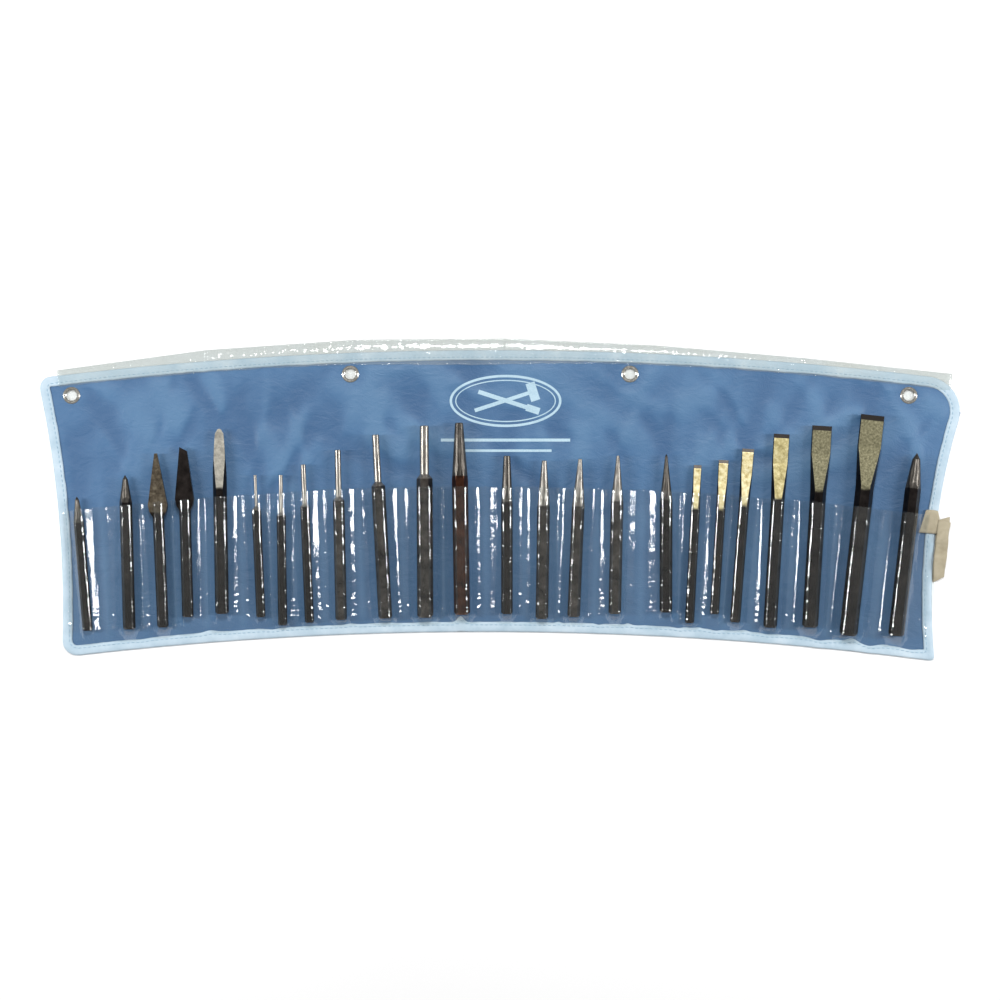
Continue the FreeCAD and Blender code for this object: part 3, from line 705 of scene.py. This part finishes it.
def binding():
    rings, kinds = [], None
    for inset, z in BINDING_SECTION:
        points, kinds = outline(inset)
        line = []
        for i, (x, y) in enumerate(points):
            swell = 0.22 * hash_noise(i / 9, inset * 0.3, 1.3) + 0.12 * hash_noise(i / 3.1, inset * 0.5, 5.0)
            share = inset / BINDING_WIDTH
            wave = 0.5 * hash_noise(i / 17, 0, 8.2) * share + 0.25 * hash_noise(i / 5, 0, 2.2) * share
            if kinds[i] == "bottom":
                y += notch(x, y) * share ** 0.5 + wave
            elif kinds[i] == "top":
                y -= wave
            elif kinds[i] == "left":
                x += wave
            elif kinds[i] == "right":
                x -= wave
            line.append((x, y, z + (swell if z > 1.9 else 0.3 * swell)))
        rings.append(line)
    cols = len(rings[0])
    verts = [row(*p) for line in rings for p in line]
    count = len(rings)
    faces = []
    for i in range(count):
        k = (i + 1) % count
        for j in range(cols):
            m = (j + 1) % cols
            faces.append((i * cols + j, k * cols + j, k * cols + m, i * cols + m))
    return make_mesh("binding_tape", verts, faces, pale_binding())


BINDING = binding()
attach(BINDING, "roll")
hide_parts("binding_left", "binding_right", "binding_top", "binding_bottom")


STITCH_INSET = 5.6
STITCH_PITCH = 3.9
STITCH_SHARE = 0.72                                 # of the pitch that shows as thread
THREAD_RADIUS = 0.0003


def capsule(verts, faces, a, b, radius, sides=6):
    """A short thread from a to b that dips into the cloth at both ends."""
    a, b = Vector(a), Vector(b)
    along = (b - a).normalized()
    side = along.cross(Vector((0, 0, 1))).normalized()
    up = side.cross(along)
    start = len(verts)
    rings = ((0.0, 0.45, -0.7), (0.18, 1.0, 0.0), (0.5, 1.12, 0.25), (0.82, 1.0, 0.0), (1.0, 0.45, -0.7))
    for t, grow, rise in rings:
        centre = a.lerp(b, t) + up * radius * rise
        for k in range(sides):
            angle = 2 * math.pi * k / sides
            verts.append(tuple(centre + (side * math.cos(angle) + up * math.sin(angle)) * radius * grow))
    for i in range(len(rings) - 1):
        for k in range(sides):
            m = (k + 1) % sides
            near, far = start + i * sides, start + (i + 1) * sides
            faces.append((near + k, near + m, far + m, far + k))
    faces.append(tuple(start + k for k in range(sides))[::-1])
    faces.append(tuple(start + (len(rings) - 1) * sides + k for k in range(sides)))


def walk(points, pitch):
    """Equally spaced (point, next point) pairs along a closed run."""
    spots, left = [], 0.0
    for a, b in zip(points, points[1:] + points[:1]):
        length = math.dist(a, b)
        while left < length:
            t = left / length
            spots.append((a[0] + (b[0] - a[0]) * t, a[1] + (b[1] - a[1]) * t))
            left += pitch
        left -= length
    return spots


def stitches():
    bpy.context.view_layer.update()
    tree = BVHTree.FromObject(BINDING, bpy.context.evaluated_depsgraph_get())
    verts, faces = [], []
    points, _ = outline(STITCH_INSET)
    spots = walk(points, STITCH_PITCH)
    for a, b in zip(spots, spots[1:] + spots[:1]):
        shift = notch(a[0], a[1]) * 0.7
        p = Vector(row(a[0], a[1] + shift, 0))
        q = Vector(row(a[0] + (b[0] - a[0]) * STITCH_SHARE, a[1] + (b[1] - a[1]) * STITCH_SHARE + shift, 0))
        ends = []
        for v in (p, q):
            hit = tree.ray_cast(Vector((v.x, v.y, 0.05)), Vector((0, 0, -1)))[0]
            ends.append(Vector((v.x, v.y, (hit.z if hit is not None else 0.0022) + 0.00005)))
        capsule(verts, faces, *ends, THREAD_RADIUS)
    return make_mesh("binding_stitches", verts, faces, thread())


STITCHES = stitches()
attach(STITCHES, "roll")

# ---- Pocket sheet ------------------------------------------------------------------------------------------
FILM = clear_film("clear_pocket_film", (1.0, 0.12, 1.0), 0.012, 0.06)
FILM_THICK = 0.25


def film_height(tool, index, x, y, left, right):
    """Height of the film over one tool: taut from seam to tool, slumped to the binding below the butt."""
    axis_x = tool.x_mm(y)
    half, top = tool.half / MM + 0.25, tool.top / MM + 0.35
    flat = half / 2 + 0.1
    middle = (tool.top + tool.bottom) / MM / 2
    u = x - axis_x
    foot = PANEL_TOP + 0.12 + max(0.0, relief(x, y))
    reach = (axis_x - left) if u < 0 else (right - axis_x)
    reach = max(reach, half + 0.8)
    d = abs(u)
    slack = 0.55 + 0.45 * hash_noise(index * 3.7, 0.5 if u < 0 else 7.5)
    if d <= flat:
        z = top
    elif d <= half:
        z = top + (middle - top) * ((d - flat) / (half - flat)) ** 1.6 * 0.62
    else:
        edge_z = top + (middle - top) * 0.62
        t = min(1.0, (d - half) / max(reach - half, 0.4))
        sag = min(1.0, max(0.0, (reach - half - 5) / 9))
        z = foot + (edge_z - foot) * (1 - t) ** (0.95 + 0.3 * slack + 1.1 * sag)
    butt_y = tool.butt_mm()[1]
    floor_y = edge_y("bottom", x, BINDING_WIDTH - 1.5)
    t = max(0.0, min(1.0, (y - floor_y) / max(butt_y - 0.4 - floor_y, 1.0)))
    return foot + (z - foot) * t


def pocket_film():
    seams = seam_lines()
    step = 1.1
    columns = []                                   # (tool index, share of the way from its left seam to its right)
    for k in range(len(TOOLS)):
        width = seams[k + 1][0] - seams[k][0]
        count = max(10, round(width / step))
        columns += [(k, j / count) for j in range(count)]
    columns.append((len(TOOLS) - 1, 1.0))
    rows = 118
    top = []
    for i in range(rows + 1):
        t = i / rows
        line = []
        for k, share in columns:
            x_low = seams[k][0] + (seams[k + 1][0] - seams[k][0]) * share
            x_high = seams[k][1] + (seams[k + 1][1] - seams[k][1]) * share
            x = x_low + (x_high - x_low) * t
            bottom = edge_y("bottom", x, 4)
            mouth = edge_y("bottom", x) + POCKET_DEPTH + 0.7 * hash_noise(x / 30, 4.4)
            y = bottom + (mouth - bottom) * t
            sl = seams[k][0] + (seams[k][1] - seams[k][0]) * t
            sr = seams[k + 1][0] + (seams[k + 1][1] - seams[k + 1][0]) * t
            z = film_height(TOOLS[k], k, x, y, sl, sr)
            loose = math.sin(math.pi * min(max(share, 0), 1)) ** 0.7
            z += loose * (0.5 + 0.5 * t) * (0.35 + 0.35 * hash_noise(x / 3.1, y / 42, 2.0 + k)
                                            + 0.25 * hash_noise(x / 6, y / 9, 6.0))
            near_butt = max(0.0, 1 - max(0.0, y - TOOLS[k].butt_mm()[1] - 4) / 26)
            z += near_butt * min(1.0, t * 9) * abs(0.75 * hash_noise(x / 2.6, y / 3.4, 11.0))
            line.append((x, y, z + FILM_THICK))
        top.append(line)
    return sheet_mesh("pocket_film", top, FILM_THICK, FILM)


POCKETS = pocket_film()
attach(POCKETS, "roll")
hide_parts("pocket_sheet")

# ---- Flap --------------------------------------------------------------------------------------------------
FLAP_FILM = clear_film("clear_flap_film", (1.0, 1.0, 1.0), 0.11, 0.08)


def fold_points():
    (cx, cy), radius, _ = SIDES["top"]
    first = math.asin((CORNERS["tl"][0] + FLAP_END_INSET - cx) / radius)
    last = math.asin((CORNERS["tr"][0] - FLAP_END_INSET - cx) / radius)
    points = []
    for i, overhang in enumerate(FLAP_OVERHANGS):
        a = first + (last - first) * i / FLAP_SEGMENTS
        points.append((cx + (radius + overhang) * math.sin(a), cy + (radius + overhang) * math.cos(a)))
    return points


FOLDS = fold_points()


def fold_point(share):
    """A point on the fold's straight stretches, share running 0 to 1 from left to right."""
    place = min(share * FLAP_SEGMENTS, FLAP_SEGMENTS - 1e-6)
    k = int(place)
    t = place - k
    a, b = FOLDS[k], FOLDS[k + 1]
    return a[0] + (b[0] - a[0]) * t, a[1] + (b[1] - a[1]) * t


def inward(x, y):
    (cx, cy), _, _ = SIDES["top"]
    d = math.dist((x, y), (cx, cy))
    return (cx - x) / d, (cy - y) / d


def hem_film():
    """The flap's upper layer: from the fold, over the binding, to the hem sewn just below it."""
    cols = 620
    rows = 20
    top = []
    for i in range(rows + 1):
        line = []
        for j in range(cols + 1):
            x, y = fold_point(j / cols)
            dx, dy = inward(x, y)
            outside = y - edge_y("top", x)
            below = 1.2 + 2.6 * math.exp(-((x + 25) / 75) ** 2) + 0.8 * hash_noise(x / 14, 2.0)
            d = (outside + BINDING_WIDTH + below) * i / rows
            px, py = x + dx * d, y + dy * d
            inset = d - outside
            climb = max(0.0, min(1.0, d / max(outside, 1)))
            crush = 0.5 * hash_noise(px / 6, py / 3.4, 4.0) + 0.28 * hash_noise(px / 2.4, py / 2, 1.0)
            z = 0.45 + (HEM_TOP + 0.3 - 0.45) * math.sin(climb * math.pi / 2) + abs(crush) * min(1.0, d / 3)
            if inset > BINDING_WIDTH:
                z -= 0.55 * min(1.0, (inset - BINDING_WIDTH) / 1.5)
            line.append((px, py, z if i else 0.3))
        top.append(line)
    return sheet_mesh("flap_hem_film", top, 0.2, FLAP_FILM, flip=True)


HEM = hem_film()
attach(HEM, "roll")
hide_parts("flap_hem")


def flap_strip(k):
    """One strip of the flap's lower layer, turned back under the roll."""
    a, b = FOLDS[k], FOLDS[k + 1]
    cols, rows = 60, 30
    top = []
    for i in range(rows + 1):
        t = (i / rows) ** 1.3
        line = []
        for j in range(cols + 1):
            s = j / cols
            x, y = a[0] + (b[0] - a[0]) * s, a[1] + (b[1] - a[1]) * s
            (ax, ay), (bx, by) = inward(*a), inward(*b)
            dx, dy = ax + (bx - ax) * s, ay + (by - ay) * s
            px, py = x + dx * FLAP_DEPTH * t, y + dy * FLAP_DEPTH * t
            ripple = 0.08 + 0.06 * hash_noise(px / 8, py / 8, 3.0)
            line.append((px, py, 0.22 + ripple * min(1.0, t * 8)))
        top.append(line)
    return sheet_mesh(f"flap_film_{k + 1}", top, 0.15, FLAP_FILM, flip=True)


for k in range(FLAP_SEGMENTS):
    strip = flap_strip(k)
    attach(strip, f"flap_{k + 1}")
    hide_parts(f"flap_{k + 1}")

# ---- Tie tape ----------------------------------------------------------------------------------------------
TAPE_WIDTH = 19
TAPE_Y = -25
TAPE_THICK = 0.45
LOWEST = 0.05                                       # the tape stays this far above the table
TAIL_WIDTH = 10.2                                   # the loose end lies doubled lengthwise and bunched


def ribbon(name, path, width, steps):
    """A soft twill ribbon along a path of (x, y, z, width angle in degrees) in outline mm."""
    across = 10
    curve = [np.array(p, dtype=float) for p in path]
    spots = []
    for i in range(steps + 1):
        place = i / steps * (len(curve) - 1)
        k = min(int(place), len(curve) - 2)
        t = place - k
        p0, p1, p2, p3 = (curve[max(k - 1, 0)], curve[k], curve[k + 1], curve[min(k + 2, len(curve) - 1)])
        spots.append(0.5 * (2 * p1 + (p2 - p0) * t + (2 * p0 - 5 * p1 + 4 * p2 - p3) * t * t
                            + (3 * p1 - p0 - 3 * p2 + p3) * t ** 3))
    rows = []
    for i, spot in enumerate(spots):
        before, after = spots[max(i - 1, 0)], spots[min(i + 1, steps)]
        angle = math.radians(spot[3])
        wide = Vector((math.cos(angle), math.sin(angle), 0.0))
        run = Vector(after[:3] - before[:3]).normalized()
        up = run.cross(wide)
        up = up.normalized() if up.length > 1e-6 else Vector((0, 0, 1))
        line = []
        for j in range(across + 1):
            s = (j / across - 0.5) * width
            ripple = 0.35 * hash_noise(i / 5, j / 4, 2.7)
            line.append((Vector(spot[:3]) + wide * s + up * ripple, up))
        rows.append(line)
    verts = []
    for side in (0.5, -0.5):
        for line in rows:
            for point, up in line:
                p = point + up * TAPE_THICK * side
                verts.append(row(p.x, p.y, max(p.z, LOWEST)))
    obj = make_mesh(name, verts, closed_faces(len(rows), across + 1), TWILL)
    mesh = bmesh.new()
    mesh.from_mesh(obj.data)
    bmesh.ops.recalc_face_normals(mesh, faces=mesh.faces)
    mesh.to_mesh(obj.data)
    mesh.free()
    return obj


def tie_tape():
    edge = end_x("right", TAPE_Y)
    path = [
        (edge - 11.8, TAPE_Y + 1.0, 3.2, 72.5), (edge - 6.5, TAPE_Y + 0.7, 3.6, 81),
        (edge - 1.0, TAPE_Y + 0.2, 3.4, 93),
        (edge + 2.6, TAPE_Y - 0.5, 1.8, 100), (edge - 1.0, TAPE_Y - 1, 0.5, 94), (edge - 12, TAPE_Y - 1.5, 0.45, 95),
        (edge - 20, TAPE_Y - 3, 0.45, 95)]
    wrap = ribbon("tie_tape_wrap", path, TAPE_WIDTH, 70)
    e = [end_x("right", TAPE_Y - d) for d in (0, 12, 24, 36, 44)]
    tail = [
        (e[0] + 5.6, TAPE_Y + 3, 0.7, 16), (e[1] + 5.8, TAPE_Y - 9, 2.0, -18), (e[2] + 5.4, TAPE_Y - 21, 1.0, 22),
        (e[3] + 5.5, TAPE_Y - 31, 2.4, -20), (e[4] + 5.0, TAPE_Y - 40, 0.9, 14), (e[4] + 4.9, TAPE_Y - 46, 1.6, 26),
        (e[4] + 5.2, TAPE_Y - 41, 3.0, 28), (e[3] + 5.3, TAPE_Y - 32, 4.6, 12), (e[2] + 5.9, TAPE_Y - 21, 3.2, -22),
        (e[1] + 5.4, TAPE_Y - 11, 4.8, 20), (e[0] + 6.0, TAPE_Y + 1, 2.8, -14)]
    bunch = ribbon("tie_tape_bunch", tail, TAIL_WIDTH, 150)
    return wrap, bunch


TWILL = twill()
WRAP, BUNCH = tie_tape()
for piece in (WRAP, BUNCH):
    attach(piece, "roll")
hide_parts("tie_tape")

# ---- Generic print -----------------------------------------------------------------------------------------
MARK_X, MARK_Y = 4.4, 79.7 + ORIGIN[1]
verts, faces = [], []


def patch(point, nu, nv):
    """A draped patch: point(u, v) gives outline mm."""
    start = len(verts)
    for i in range(nu + 1):
        for j in range(nv + 1):
            verts.append(on_panel(*point(i / nu, j / nv)))
    for i in range(nu):
        for j in range(nv):
            a = start + i * (nv + 1) + j
            faces.append((a, a + nv + 1, a + nv + 2, a + 1))


def ellipse_ring(half_w, half_h, thick):
    def point(u, v):
        a = 2 * math.pi * u
        return (MARK_X + (half_w - thick * v) * math.cos(a), MARK_Y + (half_h - thick * v) * math.sin(a))
    patch(point, 160, 2)


def bar(cx, cy, length, width, turn=0.0):
    c, s = math.cos(math.radians(turn)), math.sin(math.radians(turn))

    def point(u, v):
        dx, dy = (u - 0.5) * length, (v - 0.5) * width
        return cx + dx * c - dy * s, cy + dx * s + dy * c
    patch(point, max(4, round(length / 1.2)), max(2, round(width / 1.2)))


ellipse_ring(45, 21, 2.0)
ellipse_ring(40.5, 17, 0.9)
bar(MARK_X - 1, MARK_Y, 50, 3.0, 18)
bar(MARK_X + 22, MARK_Y + 7.4, 7.5, 15, 18)
bar(MARK_X + 1, MARK_Y, 48, 3.4, -18)
bar(MARK_X + 22, MARK_Y - 6.8, 11, 5.6, -18)
bar(MARK_X, MARK_Y - 31.5, 104, 2.4)
bar(MARK_X, MARK_Y - 40.0, 74, 2.0)
PRINT = make_mesh("generic_print", verts, faces, print_ink())
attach(PRINT, "roll")


# ---- Floor, lights, camera ---------------------------------------------------------------------------------
def floor():
    n = Nodes("pale_floor")
    shade = n.noise(n.where(), 3, 2)
    n.finish(Base_Color=n.mix(shade, (0.93, 0.93, 0.93), (0.96, 0.96, 0.96)), Roughness=0.9)
    verts = [(-6, -6, -0.0002), (6, -6, -0.0002), (6, 6, -0.0002), (-6, 6, -0.0002)]
    obj = make_mesh("floor", verts, [(0, 1, 2, 3)], n.material, smooth=False)


def lamp(name, place, aim, size, power):
    data = bpy.data.lights.new(name, "AREA")
    data.shape = "RECTANGLE"
    data.size, data.size_y = size
    data.energy = power
    obj = bpy.data.objects.new(name, data)
    obj.location = place
    obj.rotation_euler = (Vector(aim) - Vector(place)).to_track_quat("-Z", "Y").to_euler()
    bpy.context.scene.collection.objects.link(obj)


floor()
lamp("lamp_left", (-1.15, 0.05, 0.75), (-0.1, 0, 0), (0.11, 0.7), 9)
lamp("lamp_right", (1.15, 0.05, 0.75), (0.1, 0, 0), (0.11, 0.7), 9)
lamp("lamp_over", (0, 1.25, 2.3), (0, 0, 0), (0.5, 0.5), 34)
world = bpy.data.worlds.new("studio")
bpy.context.scene.world = world
world.use_nodes = True
world.node_tree.nodes["Background"].inputs["Color"].default_value = (1, 1, 1, 1)
world.node_tree.nodes["Background"].inputs["Strength"].default_value = 0.28
bpy.context.scene.view_settings.view_transform = "Standard"

VIEW_WIDTH = 0.805                                  # metres across the picture at the table
LENS, SENSOR = 100, 36
camera_data = bpy.data.cameras.new("camera")
camera_data.lens = LENS
camera_data.sensor_width = SENSOR
camera = bpy.data.objects.new("camera", camera_data)
camera.location = (0, 0, VIEW_WIDTH * LENS / SENSOR)
camera.rotation_euler = (0, 0, 0)
bpy.context.scene.collection.objects.link(camera)
bpy.context.scene.camera = camera
